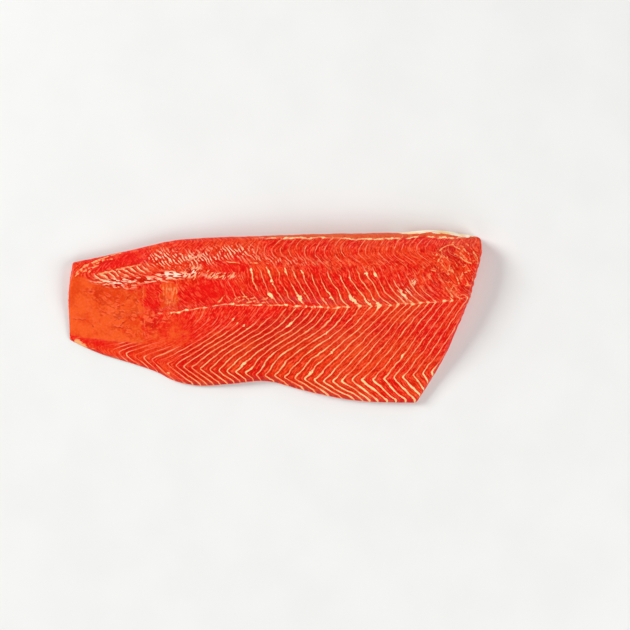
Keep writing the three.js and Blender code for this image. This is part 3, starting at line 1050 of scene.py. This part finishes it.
# The fat along the rim, the scraps on the flap, and the skin with its brown rind at the foot of the sides.
SCRAP_GRAIN = (2.4, 2, -24)
SCRAP_RAGGEDNESS = 1.1
SCRAP_EDGE = (0.45, 0.9)
RIM_RAGGEDNESS = 0.8
RIM_DRIPS = (7, 2)
RIM_DRIP_REACH = 3.5
RIM_EDGE = (-0.3, 0.5)
RIM_STREAKS = (4, 4)
RIM_STREAKS_PALE = (0.5, 1)
RIND_WAVER = (9, 0.8)
RIND_HEIGHT = (2.2, 1.5)
SKIN_HEIGHT = (1.5, 0.9)
SKIN_GRAIN = 6

steepness = meat.attribute("steepness")
scrap = meat.attribute("flap_scrap") + meat.grain(*SCRAP_GRAIN).about_zero(SCRAP_RAGGEDNESS)
scrap = scrap.fade(*SCRAP_EDGE)
rim = meat.attribute("rim_fat") + fine.about_zero(RIM_RAGGEDNESS)
rim = (rim + meat.grain(*RIM_DRIPS).about_zero(RIM_DRIP_REACH) * steepness).fade(*RIM_EDGE)
rim_colour = meat.grain(*RIM_STREAKS).fade(*RIM_STREAKS_PALE).mix(FAT_CREAM, FAT_PALE)
rind = (height_mm + meat.waver(*RIND_WAVER)).fade(*RIND_HEIGHT)
skin = height_mm.fade(*SKIN_HEIGHT)
skin_colour = meat.grain(SKIN_GRAIN).mix(SKIN_SILVER, SKIN_DARK)

# The layers of colour from the lowest up: where each lies, how strongly it covers, and its colour.
TORN_SHADE = 0.95
HATCH_SHADE = 0.8
WRINKLE_SHADE = 0.65
stroke_shade = (torn_dark * TORN_SHADE).most(hatch_dark * HATCH_SHADE)
fold_shade = crack_dark.most(wrinkle_dark * WRINKLE_SHADE)
for cover, strength, colour in (
    (dark_flesh, 0.8, DEEP_RED),
    (pale_flesh, 0.6, STRAND_AND_HIGHLIGHT_PALE),
    (shadow, 0.8, SHADOW_RED),
    (strip, 1, STRIP_ORANGE),
    (film_cover, 0.92, film_colour),
    (film_streaks_dark, 0.6, FILM_BROWN),
    (film_streaks_pale, 0.7, LINE_ORANGE),
    # painted highlight on the crests of the wrinkles
    (wrinkle_crest_highlight, 0.65, STRAND_AND_HIGHLIGHT_PALE),
    (hatched, 0.35, STRAND_AND_HIGHLIGHT_PALE),
    (stroke_shade, 1, SHADOW_RED),
    (fold_shade, 0.8, SHADOW_RED),
    (crack_lip, 0.7, STRAND_AND_HIGHLIGHT_PALE),
    (streak_dark, 0.35, SHADOW_RED),
    (line, 1, line_colour),
    (fibre, 0.8, LINE_ORANGE),
    # pale torn flecks, white where they are painted highlights
    (torn_pale_and_glint, 0.95, torn_and_glint_colour),
    (hatch_pale, 0.9, hatch_colour),
    (streak_pale, 1, streak_colour),
    (seam_pale, 1, seam_colour),
    (fascia_pale, 1, FAT_PALE),
    (scrap, 1, LINE_ORANGE),
    (rim, 1, rim_colour),
    (rind, 0.7, RIND_BROWN),
    (skin, 1, skin_colour),
):
    flesh = (cover * strength).mix(flesh, colour)

# The fine relief, in mm: what stands out or lies deeper, and by how much.
FINE_BUMP = 0.035
FILM_SMOOTHNESS = 0.5
STRAND_BUMP = 0.04
bump_mm = fine.about_zero(FINE_BUMP) * (1 - film_cover * FILM_SMOOTHNESS)
bump_mm = bump_mm + strand.about_zero(STRAND_BUMP) * mottled
for feature, height in (
    (line, 0.02),
    (seam_pale, 0.03),
    (torn_pale_and_glint, 0.02),
    (fibre, 0.02),
    (streak_pale, 0.02),
    (crack_dark, -0.02),
    (wrinkle_dark, -0.03),
):
    bump_mm = bump_mm + feature * height
relief_normal = meat.node("ShaderNodeBump", None, {"Height": bump_mm, "Distance": MM, "Strength": 1.0})

# The wet surface: glossy on the cut face, duller down the sides, with a little light passing through.
WET_ROUGHNESS = 0.2
FINE_ROUGHNESS = 0.12
SIDE_ROUGHNESS = 0.5
surface = meat.node(
    "ShaderNodeBsdfPrincipled",
    None,
    {
        "Base Color": flesh,
        "Roughness": WET_ROUGHNESS + FINE_ROUGHNESS * fine + SIDE_ROUGHNESS * steepness,
        "IOR": 1.36,
        "Specular IOR Level": 0.3,
        "Subsurface Weight": 0.2,
        "Subsurface Radius": (1.0, 0.25, 0.12),
        "Subsurface Scale": 1.0 * MM,
        "Normal": relief_normal,
    },
)
meat.node("ShaderNodeOutputMaterial", None, {"Surface": surface})
fillet.data.materials.append(salmon)

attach(fillet, "root")
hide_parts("fillet")

# The floor
# A plain pale sheet that the fillet lies on with its skin, matte and very faintly uneven in tone. It is wide
# enough to fill the view from any side, and it isn't part of the object.
FLOOR_SIZE = 16.0
FLOOR_GRAIN = 60
FLOOR_PALE = paint(236, 236, 234)
FLOOR_SHADE = paint(233, 233, 231)
bpy.ops.object.select_all(action="DESELECT")
bpy.ops.mesh.primitive_plane_add(size=FLOOR_SIZE)
floor = bpy.context.object
floor.name = "floor"
matte = bpy.data.materials.new("pale_floor")
matte.use_nodes = True
matte.node_tree.nodes.clear()
floor_finish = Shade(matte.node_tree)
floor_colour = floor_finish.grain(FLOOR_GRAIN).mix(FLOOR_PALE, FLOOR_SHADE)
floor_sockets = {"Base Color": floor_colour, "Roughness": 0.7}
floor_surface = floor_finish.node("ShaderNodeBsdfPrincipled", None, floor_sockets)
floor_finish.node("ShaderNodeOutputMaterial", None, {"Surface": floor_surface})
floor.data.materials.append(matte)

# The light
# Soft studio lamps: a key from the back left, a broad fill from the front right, two weaker ones in front
# and behind, and a low pale surround. None hangs straight above, so that the wet face mirrors no lamp and
# keeps its colour.
LAMPS = (  # name, place and size in metres, and power in watts
    ("key", (-2.3, 1.2, 1.7), 1.3, 84),
    ("fill", (2.1, -1.2, 1.7), 1.8, 56),
    ("front", (-0.6, -2.3, 1.4), 1.6, 20),
    ("back", (1.0, 2.3, 1.5), 1.8, 16),
)
SURROUND = 0.09
for name, place, size, power in LAMPS:
    bpy.ops.object.light_add(type="AREA", location=place)
    lamp = bpy.context.object
    lamp.name = name
    lamp.data.size = size
    lamp.data.energy = power
    lamp.rotation_euler = (-Vector(place)).to_track_quat("-Z", "Y").to_euler()
bpy.context.scene.world = bpy.data.worlds.new("surround")
bpy.context.scene.world.use_nodes = True
background = bpy.context.scene.world.node_tree.nodes["Background"]
background.inputs["Color"].default_value = (1, 1, 1, 1)
background.inputs["Strength"].default_value = SURROUND

# The camera
# It looks straight down on the face, with the tail to the left and the back edge at the top. It stands as
# high as its lens needs for a view of the field's width at the middle height of the face.
CAMERA_PLACE = (31.8 * MM, 1.3 * MM)
FIELD_WIDTH = 495.8 * MM
FACE_HEIGHT = 15 * MM
LENS = 85
SENSOR = 36
camera_height = FACE_HEIGHT + FIELD_WIDTH * LENS / SENSOR
bpy.ops.object.camera_add(location=(*CAMERA_PLACE, camera_height), rotation=(0, 0, 0))
camera = bpy.context.object
camera.data.lens = LENS
camera.data.sensor_width = SENSOR
bpy.context.scene.camera = camera
bpy.context.scene.view_settings.view_transform = "Standard"
